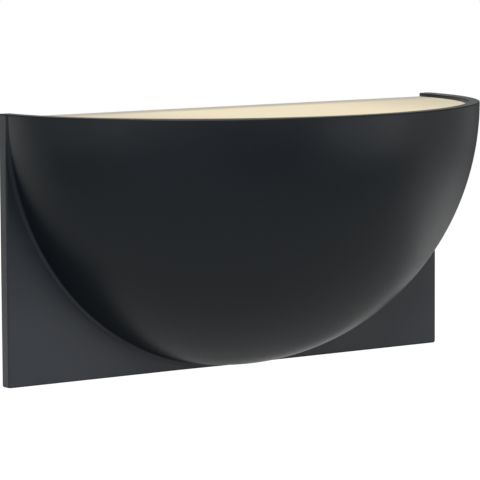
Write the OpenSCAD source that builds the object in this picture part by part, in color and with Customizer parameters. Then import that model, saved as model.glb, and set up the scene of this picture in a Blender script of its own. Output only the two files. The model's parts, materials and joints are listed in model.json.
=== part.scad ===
// Uplighter wall light: a half-bowl shade that hangs on a wall bracket and throws light at the ceiling.
// Millimetres. X runs along the wall, +Y into the wall, +Z up. The wall is the plane Y = 0.
// The origin is the middle of the two wall screws. The shade stands out from the wall towards -Y.

/* [Shade] */
// Radius of the bowl seen from the front: half its width, and its whole height
bowl_r = 164.5; // [150:0.5:200]
// How far the front of the bowl stands out from the wall
bowl_depth = 152; // [130:1:175]
// Direction, from the wall, at which the tighter side curve hands over to the front curve
blend_angle = 47; // [42:1:54]
// How far the back plate reaches past the bowl at the sides and below
plate_margin = 0.5; // [0.3:0.1:6]
// Thickness of the back plate
plate_t = 7; // [5:0.5:10]
// Rounding of the lower corners of the back plate
plate_corner_r = 1.5; // [0.5:0.5:6]
// Fillet where the bowl grows out of the back plate
junction_r = 2.5; // [1:0.5:5]
// Wall of the bowl below the rim
wall_t = 4; // [3:0.5:5]
// Front skin that is left over the pockets in the back of the plate
plate_skin = 3.2; // [2.5:0.1:4]
// Thickness of the ribs between the pockets
rib_t = 2.4; // [1.5:0.1:4]
// Distance from rib to rib
rib_pitch = 27; // [20:1:34]
// Distance from the middle of the plate at which the pockets start
pocket_start = 52; // [45:1:70]

/* [Rim and diffuser] */
// Width of the rim around the diffuser
rim_w = 7.5; // [6:0.5:9]
// How far the diffuser lies below the rim
recess = 2.3; // [1:0.1:5]
// Thickness of the opal diffuser
diffuser_t = 3; // [2:0.5:5]
// Gap between the diffuser and the rim or the wall
diffuser_gap = 0.5; // [0.3:0.1:1]
// Width of the ledge that carries the diffuser
ledge_w = 4; // [3:0.5:6]
// Thickness of the ledge
ledge_t = 3; // [2:0.5:5]
// Thickness of the foam seal under the diffuser
seal_t = 1; // [0.5:0.1:2]
// Gap between the seal and the rim beside it
seal_gap = 0.6; // [0.3:0.1:1]

/* [Hanging rail] */
// Depth of the flange that carries the back edge of the diffuser
rail_flange = 10; // [8:1:16]
// Thickness of the upright web of the rail
rail_t = 4; // [3:0.5:5]
// Height of the web below the flange
rail_h = 15; // [12:1:18]
// Gap between the web and the wall bracket
rail_gap = 0.3; // [0.2:0.1:0.6]
// Width of the tabs that hold the keyholes and the lock slot
tab_w = 24; // [20:1:30]
// Length that the tabs reach below the lifted position of the studs
tab_foot = 10; // [8:1:12]
// Travel that lifts the shade off its studs
lift = 10; // [8:0.5:12]
// Distance between the two hanging studs
stud_span = 120; // [100:1:150]
// Distance from the rim down to the studs
stud_drop = 20.5; // [19:0.5:24]
// Radius of the neck of a stud
stud_neck_r = 2.5; // [2:0.1:3]
// Radius of the head of a stud
stud_head_r = 4.5; // [4:0.1:5.5]
// Thickness of the head of a stud
stud_head_t = 2.2; // [1.5:0.1:3]
// Radius of the riveted shank of a stud
stud_shank_r = 2; // [1.5:0.1:2.4]
// Play between a stud and its keyhole
stud_play = 0.3; // [0.2:0.1:0.5]
// Extra radius of the round mouth of a keyhole over the stud's head
mouth_play = 0.8; // [0.5:0.1:1.5]

/* [Wall bracket] */
// Thickness of the bracket's sheet
bracket_t = 2; // [1.5:0.1:3]
// Width of the flat of the bracket
bracket_w = 164; // [150:1:180]
// Distance from the rim down to the top of the bracket
bracket_top_drop = 10.8; // [10.5:0.1:13]
// Distance from the wall screws down to the bottom of the bracket
bracket_foot = 42; // [40:1:46]
// Size of the cut lower corners
bracket_corner = 24; // [18:1:30]
// Depth of the folded side flanges
flange_d = 10; // [8:0.5:14]
// Outer bend radius of the flanges and the tray
bend_r = 3; // [2.6:0.1:5]
// Bottom of the side flanges, below the wall screws
flange_foot = 10; // [5:1:14]
// Top of the side flanges, above the wall screws
flange_top = 20; // [14:1:21]
// Distance from the middle to the middle of each wall-screw slot
slot_offset = 37.5; // [36:0.5:42]
// Length of a wall-screw slot, end to end
slot_l = 20; // [14:1:20]
// Half the width of a wall-screw slot
slot_r = 2.5; // [2:0.1:3]
// Radius of the cable hole in the bracket
inlet_r = 10; // [9:0.5:10.5]
// Height of the raised dish round the cable hole
dish_h = 3; // [2.6:0.1:4]
// Width of the raised flat round the cable hole
dish_flat = 5; // [4:0.5:5.5]
// Width of the dish's slope
dish_slope = 3; // [2.5:0.5:3.5]
// Radius of the cable bore through the grommet
cable_r = 5; // [4:0.5:6]
// Thickness of each lip of the grommet
grommet_lip = 1.5; // [1:0.1:2]
// How far the grommet's lips reach over the sheet
grommet_overlap = 2.5; // [1.5:0.1:3]

/* [Light source] */
// Distance from the wall screws up to the top of the LED tray
tray_z = 26; // [24:1:30]
// Length of the tray past the LED leads that rise through it
tray_end = 11; // [9:0.5:14]
// Reach of the tray from the wall
tray_d = 88; // [84:1:94]
// Thickness of the tray's sheet
tray_t = 2; // [1.5:0.1:2.5]
// Size of the cut front corners of the tray
tray_corner = 20; // [10:1:26]
// Distance from each end of the tray to its rear flange
tray_flange_end = 20; // [15:1:30]
// Height of the tray's rear flange
tray_flange_h = 20; // [18:1:24]
// Height of the tray's front lip above its shelf
tray_lip_h = 6; // [5:0.5:9]
// Length of the LED board
board_l = 150; // [146:1:160]
// Depth of the LED board
board_d = 54; // [50:1:56]
// Distance from the wall to the middle of the LED board
board_mid = 50; // [48:1:52]
// Thickness of the LED board
board_t = 1.6; // [1:0.1:2]
// Thickness of the thermal pad under the board
pad_t = 0.5; // [0.3:0.1:1]
// Margin of the thermal pad inside the board's edge
pad_margin = 2; // [1:0.5:4]
// LEDs in each row
led_count = 12; // [8:1:12]
// Distance from LED to LED along a row
led_pitch = 11; // [9:0.5:11.5]
// Distance between the two rows of LEDs
led_row_pitch = 22; // [16:1:26]
// Side of an LED package
led_size = 3; // [2:0.1:3.5]
// Thickness of an LED package
led_t = 0.7; // [0.5:0.1:1]
// Length of the connector on the LED board
plug_l = 8; // [6:0.5:9]
// Height of the connector on the LED board
plug_h = 4; // [3.4:0.1:6]
// Distance from the board's end to its connector
plug_inset = 1; // [0.5:0.1:2]
// Plastic on each side of the leads in the connector
plug_side = 2; // [1.5:0.1:3]
// Distance from the board's edges to its screws
board_screw_margin = 5; // [4:0.5:6]

/* [Driver] */
// Length of the driver's case without its ears
driver_l = 108; // [96:1:112]
// Depth of the driver's case
driver_d = 42; // [38:1:46]
// Height of the driver's cover
driver_h = 20; // [18:1:22]
// Thickness of the driver's base plate
driver_base_t = 2; // [1:0.1:2.5]
// Wall of the driver's cover
driver_wall = 1.6; // [1.2:0.1:2]
// Length of each ear of the driver
driver_ear = 11; // [10:0.5:13]
// Distance from the wall to the middle of the driver
driver_mid = 46; // [44:1:50]
// Height of the bosses that carry the driver's circuit board
driver_boss_h = 2.4; // [2:0.1:4]
// Radius of the bosses that carry the driver's circuit board
driver_boss_r = 2.5; // [2:0.1:4]
// Clearance round the driver's circuit board
driver_board_gap = 1.5; // [1:0.1:3]
// Length, depth and height of the transformer
transformer = [24, 20, 10.5];
// Thickness of the cheeks of the transformer's bobbin
cheek_t = 2; // [1:0.1:3]
// Radius of the capacitors
capacitor_r = 4; // [3:0.5:5]
// Height of the capacitors
capacitor_h = 11; // [8:0.5:11.5]

/* [Wiring] */
// Radius of a mains lead
mains_r = 1.2; // [1:0.1:1.3]
// Radius of an LED lead
led_lead_r = 0.9; // [0.7:0.1:1.1]
// Bend radius of the leads at their middle
lead_bend = 4; // [3:0.5:4]
// Length of a lead inside a terminal, a connector or a crimped barrel
lead_in = 3; // [2:0.5:4]
// Distance from the driver's circuit board's end to the bend of a lead
lead_margin = 1; // [0.5:0.1:2]
// Clearance round a lead where it is held
lead_gap = 0.1; // [0.1:0.05:0.3]
// Distance from the end of the driver's case to the mains leads that rise beside it
mains_rise_gap = 12; // [11:0.5:14]
// Distance between the two mains leads
mains_pitch = 5; // [4:0.5:6]
// Distance from the end of the LED board to the LED leads that rise through the tray
led_rise_gap = 9; // [8:0.5:11]
// Distance between the two LED leads
led_lead_pitch = 4; // [3:0.5:4.5]
// Outer radius of the bush in the tray
bush_r = 5; // [4.6:0.1:6]
// Inner radius of the bush in the tray
bush_bore_r = 3.6; // [3.2:0.1:4]
// How far the lips of the bush reach over the tray
bush_lip = 1.2; // [0.8:0.1:2]
// Height of a lead clip along the leads
clip_h = 6; // [4:0.5:8]
// Wall of a lead clip round its leads
clip_wall = 1.8; // [1:0.1:2.5]
// Heights of the two lead clips
clip_z = [-20, -2];

/* [Terminals] */
// Poles of the terminal block
poles = 3; // [3:1:3]
// Distance from pole to pole
pole_pitch = 12; // [10:0.5:12]
// Height of the terminal block
terminal_h = 17; // [14:0.5:17]
// Depth of the terminal block from the bracket
terminal_d = 15; // [14:0.5:17]
// Distance from the wall screws down to the middle of the terminal block
terminal_drop = 30; // [29:0.5:31]
// Distance from the wall to the bores of the terminals
terminal_bore_y = 9; // [8:0.5:9.5]
// Plastic past the last pole at each end of the block
terminal_end = 1; // [0.5:0.1:3]
// Radius of the notches in the ends of the block
notch_r = 2; // [1:0.1:2.5]
// Distance from each mouth of a bore to the insert in it
insert_inset = 1; // [0.5:0.1:2]
// Outer radius of a brass insert
insert_r = 3; // [2.6:0.1:3.2]
// Bore radius of a brass insert
insert_bore_r = 2; // [1.6:0.1:2.2]
// Radius of a terminal screw
terminal_screw_r = 1.5; // [1:0.1:1.7]
// Distance from the front of the block down to its screws
terminal_screw_inset = 1; // [0.5:0.1:2]
// Depth of the slot in a terminal screw
slot_depth = 1; // [0.5:0.1:1.5]
// Distance from the middle to the earth screw
earth_x = 50; // [44:0.5:52]
// Distance from the wall screws down to the earth screw
earth_drop = 24; // [20:0.5:26]
// Outer radius of the ring terminal
ring_r = 4; // [3.4:0.1:5]
// Thickness of the ring terminal
ring_t = 0.8; // [0.5:0.1:1.2]
// Length of the ring terminal's barrel
ring_barrel = 6; // [4:0.5:8]
// Wall of the ring terminal's barrel
barrel_wall = 0.4; // [0.3:0.1:0.8]
// Clearance round the dish where the tray's rear flange passes it
dish_gap = 1; // [0.5:0.1:1.5]

/* [Screws] */
// Radius of an M4 thread
m4_r = 1.95; // [1.8:0.05:2.1]
// Radius of an M4 pan head
m4_head_r = 3.8; // [3.4:0.1:4.2]
// Height of an M4 pan head
m4_head_h = 2.4; // [2:0.1:3]
// Radius of an M3 thread
m3_r = 1.45; // [1.3:0.05:1.6]
// Radius of an M3 pan head
m3_head_r = 2.8; // [2.4:0.1:3]
// Height of an M3 pan head
m3_head_h = 1.8; // [1.5:0.1:2.4]
// Radial clearance of a thread in its hole
thread_gap = 0.05; // [0.02:0.01:0.1]
// Thickness of a washer
washer_t = 1; // [0.5:0.1:1.5]
// Radius of the lock screw's knurled head
knob_r = 6; // [5:0.5:8]
// Height of the lock screw's knurled head
knob_h = 8; // [6:0.5:12]
// Grooves of the knurl
knurl_count = 18; // [12:1:24]
// Radius of a knurl groove
knurl_r = 0.6; // [0.4:0.1:0.8]
// Play between the lock screw and its slot in the rail
lock_play = 0.4; // [0.3:0.1:0.6]

/* [Hidden] */
$fn = 64;

// Past-the-surface length of a cut, and a length past every edge of the light
cut = 1;
far = 3 * bowl_r;

function thousandths(v) = round(v * 1000) / 1000;

// Shade: the plan curve of the bowl is a side arc and a front arc that share their tangent. The radii are
// whole thousandths, and the front arc's centre is then put where the two circles touch exactly. A bowl
// deeper than its radius has the tighter arc in front.
rim_z = (bowl_r + plate_margin) / 2;
plate_half_w = bowl_r + plate_margin;
arc_step = (bowl_r - bowl_depth) / (sin(blend_angle) + cos(blend_angle) - 1);
side_r = thousandths(bowl_r - arc_step * cos(blend_angle));
front_r = thousandths(bowl_depth + arc_step * sin(blend_angle));
side_x = bowl_r - side_r;
front_y = sign(side_r - front_r) * sqrt(pow(front_r - side_r, 2) - pow(side_x, 2));
touch_angle = atan2(abs(front_y), abs(side_x));
past_wall = -30;
past_axis = 120;
fillet_y = plate_t + junction_r;
fillet_x = side_x + sqrt(pow(side_r + junction_r, 2) - pow(fillet_y, 2));
ledge_top = rim_z - recess - diffuser_t - seal_t;
ledge_bottom = ledge_top - ledge_t;
ledge_in = rim_w + ledge_w;
pocket_t = plate_t - plate_skin;

// Rail and studs
rail_back = bracket_t + rail_gap;
rail_front = rail_back + rail_t;
stud_z = rim_z - stud_drop;
mouth_r = stud_head_r + mouth_play;
slot_play_r = stud_neck_r + stud_play;
tab_bottom = stud_z - lift - tab_foot;
stud_head_y = rail_front + 2 * rail_gap;
lock_slot_r = m4_r + lock_play;

// Bracket
bracket_top = rim_z - bracket_top_drop;
bend_in = bend_r - bracket_t;
dish_r = inlet_r + dish_flat + dish_slope + bracket_t;
tapped_r = m4_r + thread_gap;
tapped_m3_r = m3_r + thread_gap;

// Tray, board and driver
led_rise_x = board_l / 2 + led_rise_gap;
tray_w = 2 * (led_rise_x + tray_end);
tray_flange_w = tray_w - 2 * tray_flange_end;
shelf_z = tray_z - tray_t;
tray_screw_x = slot_offset + slot_r * 3;
tray_screw_z = shelf_z - tray_flange_h / 2;
pad_z = tray_z + pad_t;
led_z = pad_z + board_t;
board_screw_x = board_l / 2 - board_screw_margin;
board_screw_y = board_d / 2 - board_screw_margin;
plug_x = -board_l / 2 + plug_inset;
base_z = shelf_z - driver_base_t;
case_z = base_z - driver_h;
ear_t = driver_base_t;
driver_screw_x = driver_l / 2 + driver_ear / 2;
driver_screw_y = driver_d / 2 - driver_ear / 2;
driver_floor_z = case_z + driver_wall;
driver_board_z = driver_floor_z + driver_boss_h;
driver_parts_z = driver_board_z + board_t;
driver_boss_x = driver_l / 2 - driver_wall - driver_board_gap - 2 * driver_boss_r;
driver_boss_y = driver_d / 2 - driver_wall - driver_board_gap - 2 * driver_boss_r;
lead_z = case_z + driver_h / 2;

// Wiring
lead_front = terminal_bore_y;
pole_x = [for (i = [0 : poles - 1]) (i - (poles - 1) / 2) * pole_pitch];
terminal_z = -terminal_drop;
terminal_w = poles * pole_pitch + 2 * terminal_end;
terminal_foot = terminal_z - terminal_h / 2;
terminal_tip = terminal_foot + lead_in;
low_z = terminal_foot - 2 * lead_bend;
live_low_z = terminal_foot - lead_bend;
live_x = driver_l / 2 + mains_rise_gap;
neutral_x = live_x + mains_pitch;
live_y = driver_mid - mains_pitch;
neutral_y = driver_mid + mains_pitch;
inside_x = driver_l / 2 - driver_wall - driver_board_gap - lead_bend - lead_margin;
led_y = [driver_mid - led_lead_pitch / 2, driver_mid + led_lead_pitch / 2];
plug_z = led_z + plug_h / 2;
earth_z = -earth_drop;
terminal_screw_z = terminal_h / 4;
ring_y = bracket_t + ring_t;
barrel_r = mains_r + lead_gap + barrel_wall;
ring_foot = ring_r + ring_t;
clip_w = mains_pitch + 2 * (mains_r + clip_wall);
clip_x = (live_x + neutral_x) / 2;

// Places children on the bracket side: local Z points away from the wall, local Y points up
module facing(x = 0, z = 0, y = 0) {
    translate([x, -y, z]) rotate([90, 0, 0]) children();
}

// Draws children at +x and at -x
module both_sides(x) {
    for (side = [-1, 1]) translate([side * x, 0]) children();
}

// Draws children at the corners of a rectangle
module at_corners(x, y) {
    for (i = [-1, 1], j = [-1, 1]) translate([i * x, j * y]) children();
}

// Moves by whole thousandths and then by the small rest, so that touching circles keep touching
module exactly(x, y) {
    translate([thousandths(x), thousandths(y)]) translate([x - thousandths(x), y - thousandths(y)]) children();
}

// A slice of a circle between two directions
module slice(r, from, to) {
    mid = (from + to) / 2;
    intersection() {
        circle(r);
        polygon([[0, 0], far * [cos(from), sin(from)], 2 * far * [cos(mid), sin(mid)], far * [cos(to), sin(to)]]);
    }
}

// Half of the bowl's plan curve, drawn inwards by inset: x is the distance from the axis, y from the wall.
// The circle with the smaller radius lies inside the other one, so it stays whole.
module half_outline(inset = 0, start = 0) {
    intersection() {
        union() {
            translate([side_x, 0]) {
                if (side_r <= front_r) circle(side_r - inset);
                else slice(side_r - inset, past_wall, touch_angle);
            }
            exactly(0, front_y) {
                if (side_r > front_r) circle(front_r - inset);
                else slice(front_r - inset, touch_angle, past_axis);
            }
        }
        translate([0, start]) square([far, far]);
    }
}

// A flat layer of the plan curve between two heights, starting at a distance from the wall
module layer(inset, bottom, top, start = 0) {
    translate([0, 0, bottom]) linear_extrude(top - bottom) {
        mirror([0, 1]) half_outline(inset, start);
        rotate(180) half_outline(inset, start);
    }
}

// Turns a profile half a turn about the bowl's axis, below the rim
module turned_down() {
    facing(z = rim_z) rotate_extrude(angle = -180) children();
}

// Bowl, fillet and plate as one profile: x is the distance from the axis, y from the wall
module shade_profile() {
    half_outline();
    square([2 * plate_half_w, plate_t]);
    difference() {
        intersection() {
            polygon([[side_x, 0], [fillet_x, 0], [fillet_x, fillet_y]]);
            square(far);
        }
        exactly(fillet_x, fillet_y) circle(junction_r);
    }
}

// Front view of the back plate: square at the rim, lower corners rounded
module plate_outline() {
    r = plate_corner_r;
    translate([-plate_half_w, r - rim_z]) square([2 * plate_half_w, 2 * rim_z - r]);
    translate([r - plate_half_w, -rim_z]) square([2 * (plate_half_w - r), rim_z]);
    both_sides(plate_half_w - r) translate([0, r - rim_z]) circle(r);
}

// Pockets in the back of the plate's lower corners, with upright and level ribs left between them
module plate_pockets() {
    reach = plate_half_w - wall_t;
    difference() {
        for (side = [-1, 1]) translate([side > 0 ? pocket_start : -reach, wall_t - rim_z])
            square([reach - pocket_start, rim_z + wall_t]);
        translate([0, rim_z]) circle(bowl_r);
        for (x = [pocket_start + rib_pitch : rib_pitch : reach]) both_sides(x)
            translate([-rib_t / 2, -far]) square([rib_t, 2 * far]);
        for (z = [wall_t - rim_z + rib_pitch : rib_pitch : rim_z]) translate([-far, z - rib_t / 2])
            square([2 * far, rib_t]);
    }
}

// Keyhole: a slot that hangs on the neck and a round mouth below it that lets the head through
module keyhole(neck_r, head_r) {
    circle(neck_r);
    translate([-neck_r, -lift]) square([2 * neck_r, lift]);
    translate([0, -lift]) circle(head_r);
}

// Front view of the hanging rail
module rail_outline() {
    difference() {
        intersection() {
            union() {
                translate([-far, ledge_bottom - rail_h]) square([2 * far, rail_h + ledge_t / 2]);
                for (x = [-stud_span / 2, 0, stud_span / 2]) translate([x - tab_w / 2, tab_bottom])
                    square([tab_w, ledge_bottom - tab_bottom]);
            }
            translate([0, rim_z]) circle(bowl_r - wall_t / 2);
        }
        both_sides(stud_span / 2) translate([0, stud_z]) keyhole(slot_play_r, mouth_r);
        translate([0, stud_z]) keyhole(lock_slot_r, lock_slot_r);
    }
}

// Sheet-metal bend: a flat of one length, a quarter bend, then a leg that ends at a height
module folded(length, leg, r, t) {
    square([length - r, t]);
    translate([length - r, r]) intersection() {
        difference() {
            circle(r);
            circle(r - t);
        }
        translate([0, -r]) square([r, r]);
    }
    translate([length - t, r]) square([t, leg - r]);
}

// Pan-head screw: the shank points down from the seat, the head stands up with a cross recess
module pan_screw(r, length, head_r, head_h) {
    translate([0, 0, -length]) cylinder(r = r, h = length);
    difference() {
        rotate_extrude() polygon([[0, 0], [head_r, 0], [head_r, head_h / 2], [head_r * 0.7, head_h], [0, head_h]]);
        for (turn = [0, 90]) rotate(turn) translate([-head_r / 2, -head_r / 8, head_h / 2])
            cube([head_r, head_r / 4, head_h]);
    }
}

module m4_screw(length) {
    pan_screw(m4_r, length, m4_head_r, m4_head_h);
}

module m3_screw(length) {
    pan_screw(m3_r, length, m3_head_r, m3_head_h);
}

module washer(outer, inner, t) {
    linear_extrude(t) difference() {
        circle(outer);
        circle(inner);
    }
}

// Rubber ring with a groove that holds the edge of a sheet, seated with the sheet from z = 0 to t
module edge_ring(hole_r, bore_r, overlap, lip, t) {
    rotate_extrude() polygon([[bore_r, -lip], [hole_r + overlap, -lip], [hole_r + overlap, 0],
        [hole_r - thread_gap, 0], [hole_r - thread_gap, t], [hole_r + overlap, t],
        [hole_r + overlap - lip / 2, t + lip], [bore_r, t + lip]]);
}

function direction(from, to) = (to - from) / norm(to - from);

// Matrix whose columns are three directions and a place
function placed(x, y, z, p) = [[x.x, y.x, z.x, p.x], [x.y, y.y, z.y, p.y], [x.z, y.z, z.z, p.z], [0, 0, 0, 1]];

// Insulated lead through points joined by level and upright runs, with a quarter bend at each corner
module lead(points, r) {
    last = len(points) - 1;
    for (i = [0 : last - 1]) {
        d = direction(points[i], points[i + 1]);
        side = [d.y, d.z, d.x];
        start = i == 0 ? 0 : lead_bend;
        end = i == last - 1 ? 0 : lead_bend;
        multmatrix(placed(side, cross(d, side), d, points[i] + d * start))
            cylinder(r = r, h = norm(points[i + 1] - points[i]) - start - end);
    }
    for (i = [1 : last - 1]) {
        arrive = direction(points[i - 1], points[i]);
        leave = direction(points[i], points[i + 1]);
        multmatrix(placed(-leave, arrive, cross(-leave, arrive), points[i] + (leave - arrive) * lead_bend))
            rotate_extrude(angle = 90) translate([lead_bend, 0]) circle(r);
    }
}

// One casting: half bowl, back plate, rim, diffuser ledge and the hanging rail behind
module housing() {
    color("#2d2f31") difference() {
        union() {
            difference() {
                intersection() {
                    turned_down() shade_profile();
                    facing() linear_extrude(far) plate_outline();
                }
                intersection() {
                    turned_down() half_outline(wall_t);
                    translate([-far, -far, ledge_bottom - far]) cube([2 * far, 2 * far, far]);
                }
                layer(ledge_in, ledge_bottom - cut, ledge_top + cut, rail_flange);
                layer(rim_w, ledge_top, rim_z + cut);
            }
            facing(y = rail_back) linear_extrude(rail_t) rail_outline();
        }
        facing(y = -cut) linear_extrude(pocket_t + cut) plate_pockets();
    }
}

// Foam ring on the ledge that stops rattle and keeps dust out
module diffuser_seal() {
    color("#3a3a3a") difference() {
        layer(rim_w + seal_gap, ledge_top, ledge_top + seal_t, seal_gap);
        layer(ledge_in, ledge_top - cut, ledge_top + seal_t + cut, rail_flange);
    }
}

module diffuser() {
    color("#f2e6c8") layer(rim_w + diffuser_gap, ledge_top + seal_t, rim_z - recess, diffuser_gap);
}

// Front view of the bracket's flat
module bracket_outline() {
    half = bracket_w / 2;
    polygon([[-half, bracket_top], [half, bracket_top], [half, bracket_corner - bracket_foot],
        [half - bracket_corner, -bracket_foot], [bracket_corner - half, -bracket_foot],
        [-half, bracket_corner - bracket_foot]]);
}

module bracket_holes() {
    circle(dish_r);
    both_sides(slot_offset) {
        square([slot_l - 2 * slot_r, 2 * slot_r], center = true);
        both_sides(slot_l / 2 - slot_r) circle(slot_r);
    }
    both_sides(stud_span / 2) translate([0, stud_z]) circle(stud_shank_r + thread_gap);
    translate([0, stud_z]) circle(tapped_r);
    both_sides(tray_screw_x) translate([0, tray_screw_z]) circle(tapped_r);
    translate([-earth_x, earth_z]) circle(tapped_r);
    both_sides(pole_pitch / 2) translate([0, terminal_z]) circle(tapped_m3_r);
}

// Dish that lifts the cable hole clear of the wall
module bracket_dish() {
    flat_r = inlet_r + dish_flat;
    foot_r = flat_r + dish_slope;
    rise = bracket_t / 2;
    rotate_extrude() polygon([[inlet_r, dish_h], [flat_r, dish_h], [foot_r, 0], [dish_r, 0], [dish_r, bracket_t],
        [foot_r + rise, bracket_t], [flat_r + rise, dish_h + bracket_t], [inlet_r, dish_h + bracket_t]]);
}

// Folded steel plate that is screwed to the wall and carries everything else
module wall_bracket() {
    flange_w = bracket_w / 2 + bend_r;
    color("#b9bcbf") {
        facing() {
            linear_extrude(bracket_t) difference() {
                bracket_outline();
                bracket_holes();
            }
            bracket_dish();
        }
        for (side = [0, 1]) mirror([side, 0]) translate([flange_w - 2 * bend_r, 0, -flange_foot])
            mirror([0, 1]) linear_extrude(flange_foot + flange_top) folded(2 * bend_r, flange_d, bend_r, bracket_t);
    }
}

// Shouldered studs riveted into the bracket: the shade's keyholes hang on their necks
module hanging_studs() {
    color("#8d9093") for (side = [-1, 1]) facing(side * stud_span / 2, stud_z) rotate_extrude() polygon([
        [0, 0], [stud_shank_r, 0], [stud_shank_r, bracket_t], [stud_neck_r, bracket_t],
        [stud_neck_r, stud_head_y], [stud_head_r, stud_head_y], [stud_head_r, stud_head_y + stud_head_t / 2],
        [stud_head_r * 0.8, stud_head_y + stud_head_t], [0, stud_head_y + stud_head_t]]);
}

module lock_washer() {
    color("#9a9da0") facing(z = stud_z, y = rail_front + rail_gap)
        washer(2 * lock_slot_r, m4_r + thread_gap, washer_t);
}

// Knurled thumb screw that keeps the shade from being lifted off
module lock_screw() {
    seat = rail_front + rail_gap + washer_t;
    color("#9a9da0") facing(z = stud_z, y = seat) {
        translate([0, 0, -seat + thread_gap]) cylinder(r = m4_r, h = seat - thread_gap);
        linear_extrude(knob_h) difference() {
            circle(knob_r);
            for (i = [1 : knurl_count]) rotate(i * 360 / knurl_count) translate([knob_r, 0]) circle(knurl_r);
        }
    }
}

module cable_grommet() {
    color("#1c1c1c") facing(y = dish_h) edge_ring(inlet_r, cable_r, grommet_overlap, grommet_lip, bracket_t);
}

// Plan of the tray's shelf behind its bends, with cut front corners
module tray_shelf() {
    half = tray_w / 2;
    back = bracket_t + bend_r;
    polygon([[-half, -back], [half, -back], [half, tray_corner - tray_d], [half - tray_corner, -tray_d + bend_r],
        [tray_corner - half, -tray_d + bend_r], [-half, tray_corner - tray_d]]);
}

// Folded aluminium shelf, white inside the bowl, that carries the LED board above and the driver below
module led_tray() {
    lip_w = tray_w - 2 * tray_corner;
    color("#e8e8e4") difference() {
        union() {
            translate([0, 0, shelf_z]) linear_extrude(tray_t) tray_shelf();
            translate([-tray_flange_w / 2, -bracket_t - 2 * bend_r, tray_z]) rotate([90, 0, 90])
                linear_extrude(tray_flange_w) mirror([0, 1]) folded(2 * bend_r, tray_flange_h, bend_r, tray_t);
            translate([-lip_w / 2, 2 * bend_r - tray_d, shelf_z]) rotate([90, 0, 90])
                linear_extrude(lip_w) mirror([1, 0]) folded(2 * bend_r, tray_t + tray_lip_h, bend_r, tray_t);
        }
        facing(z = tray_screw_z) both_sides(tray_screw_x) cylinder(r = tapped_r, h = bracket_t + tray_t + cut);
        facing() cylinder(r = dish_r + dish_gap, h = bracket_t + tray_t + cut);
        translate([0, -board_mid, shelf_z - cut]) {
            for (x = [-board_screw_x, 0, board_screw_x], y = [-board_screw_y, board_screw_y])
                translate([x, y]) cylinder(r = tapped_m3_r, h = tray_t + 2 * cut);
        }
        translate([0, -driver_mid, shelf_z - cut]) {
            at_corners(driver_screw_x, driver_screw_y) cylinder(r = tapped_m3_r, h = tray_t + 2 * cut);
            translate([-led_rise_x, 0]) cylinder(r = bush_r, h = tray_t + 2 * cut);
        }
    }
}

module tray_screws() {
    color("#9a9da0") for (side = [-1, 1]) facing(side * tray_screw_x, tray_screw_z, bracket_t + tray_t)
        m4_screw(bracket_t + tray_t - thread_gap);
}

// Places children over each screw of the LED board, at a height
module at_board_screws(z) {
    for (x = [-board_screw_x, 0, board_screw_x], y = [-board_screw_y, board_screw_y])
        translate([x, y - board_mid, z]) children();
}

module board_blank(margin, z, t) {
    translate([0, -board_mid, z + t / 2]) cube([board_l - 2 * margin, board_d - 2 * margin, t], center = true);
}

module thermal_pad() {
    color("#a8a8b4") difference() {
        board_blank(pad_margin, tray_z, pad_t);
        at_board_screws(tray_z - cut) cylinder(r = tapped_m3_r, h = pad_t + 2 * cut);
    }
}

module led_board() {
    color("#f4f4f2") difference() {
        board_blank(0, pad_z, board_t);
        at_board_screws(pad_z - cut) cylinder(r = tapped_m3_r, h = board_t + 2 * cut);
    }
}

module led_chips() {
    color("#f3df8a") for (i = [0 : led_count - 1], row = [-1, 1])
        translate([(i - (led_count - 1) / 2) * led_pitch, row * led_row_pitch / 2 - board_mid, led_z + led_t / 2])
            cube([led_size, led_size, led_t], center = true);
}

module board_screws() {
    color("#9a9da0") at_board_screws(led_z) m3_screw(tray_t + pad_t + board_t - thread_gap);
}

// Push-in connector at the end of the LED board
module board_connector() {
    depth = led_lead_pitch + 2 * plug_side;
    color("#f0f0f0") difference() {
        translate([plug_x, -driver_mid - depth / 2, led_z]) cube([plug_l, depth, plug_h]);
        for (y = led_y) translate([plug_x - cut, -y, plug_z]) rotate([0, 90, 0])
            cylinder(r = led_lead_r + lead_gap, h = lead_in + cut);
    }
}

module tray_bush() {
    color("#1c1c1c") translate([-led_rise_x, -driver_mid, shelf_z])
        edge_ring(bush_r, bush_bore_r, bush_lip, bush_lip, tray_t);
}

// Plan of the driver with its ears
module driver_plan() {
    square([driver_l + 2 * driver_ear, driver_d], center = true);
}

module driver_holes(z, t) {
    translate([0, 0, z - cut]) at_corners(driver_screw_x, driver_screw_y)
        cylinder(r = tapped_m3_r, h = t + 2 * cut);
}

module driver_base() {
    color("#c9ccd0") translate([0, -driver_mid]) difference() {
        translate([0, 0, base_z]) linear_extrude(driver_base_t) driver_plan();
        driver_holes(base_z, driver_base_t);
    }
}

// Moulded cover: an open box with ears, board bosses and holes for the leads at its ends
module driver_cover() {
    inner = [driver_l - 2 * driver_wall, driver_d - 2 * driver_wall];
    color("#ececec") translate([0, -driver_mid]) difference() {
        union() {
            difference() {
                union() {
                    translate([0, 0, case_z]) linear_extrude(driver_h) square([driver_l, driver_d], center = true);
                    translate([0, 0, base_z - ear_t]) linear_extrude(ear_t) driver_plan();
                }
                translate([0, 0, driver_floor_z]) linear_extrude(driver_h) square(inner, center = true);
            }
            translate([0, 0, driver_floor_z]) at_corners(driver_boss_x, driver_boss_y)
                cylinder(r = driver_boss_r, h = driver_boss_h);
        }
        driver_holes(base_z - ear_t, ear_t);
        for (y = [live_y, neutral_y]) translate([driver_l / 2 - driver_wall - cut, driver_mid - y, lead_z])
            rotate([0, 90, 0]) cylinder(r = mains_r + lead_gap, h = driver_wall + 2 * cut);
        for (y = led_y) translate([-driver_l / 2 - cut, driver_mid - y, lead_z])
            rotate([0, 90, 0]) cylinder(r = led_lead_r + lead_gap, h = driver_wall + 2 * cut);
    }
}

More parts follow.
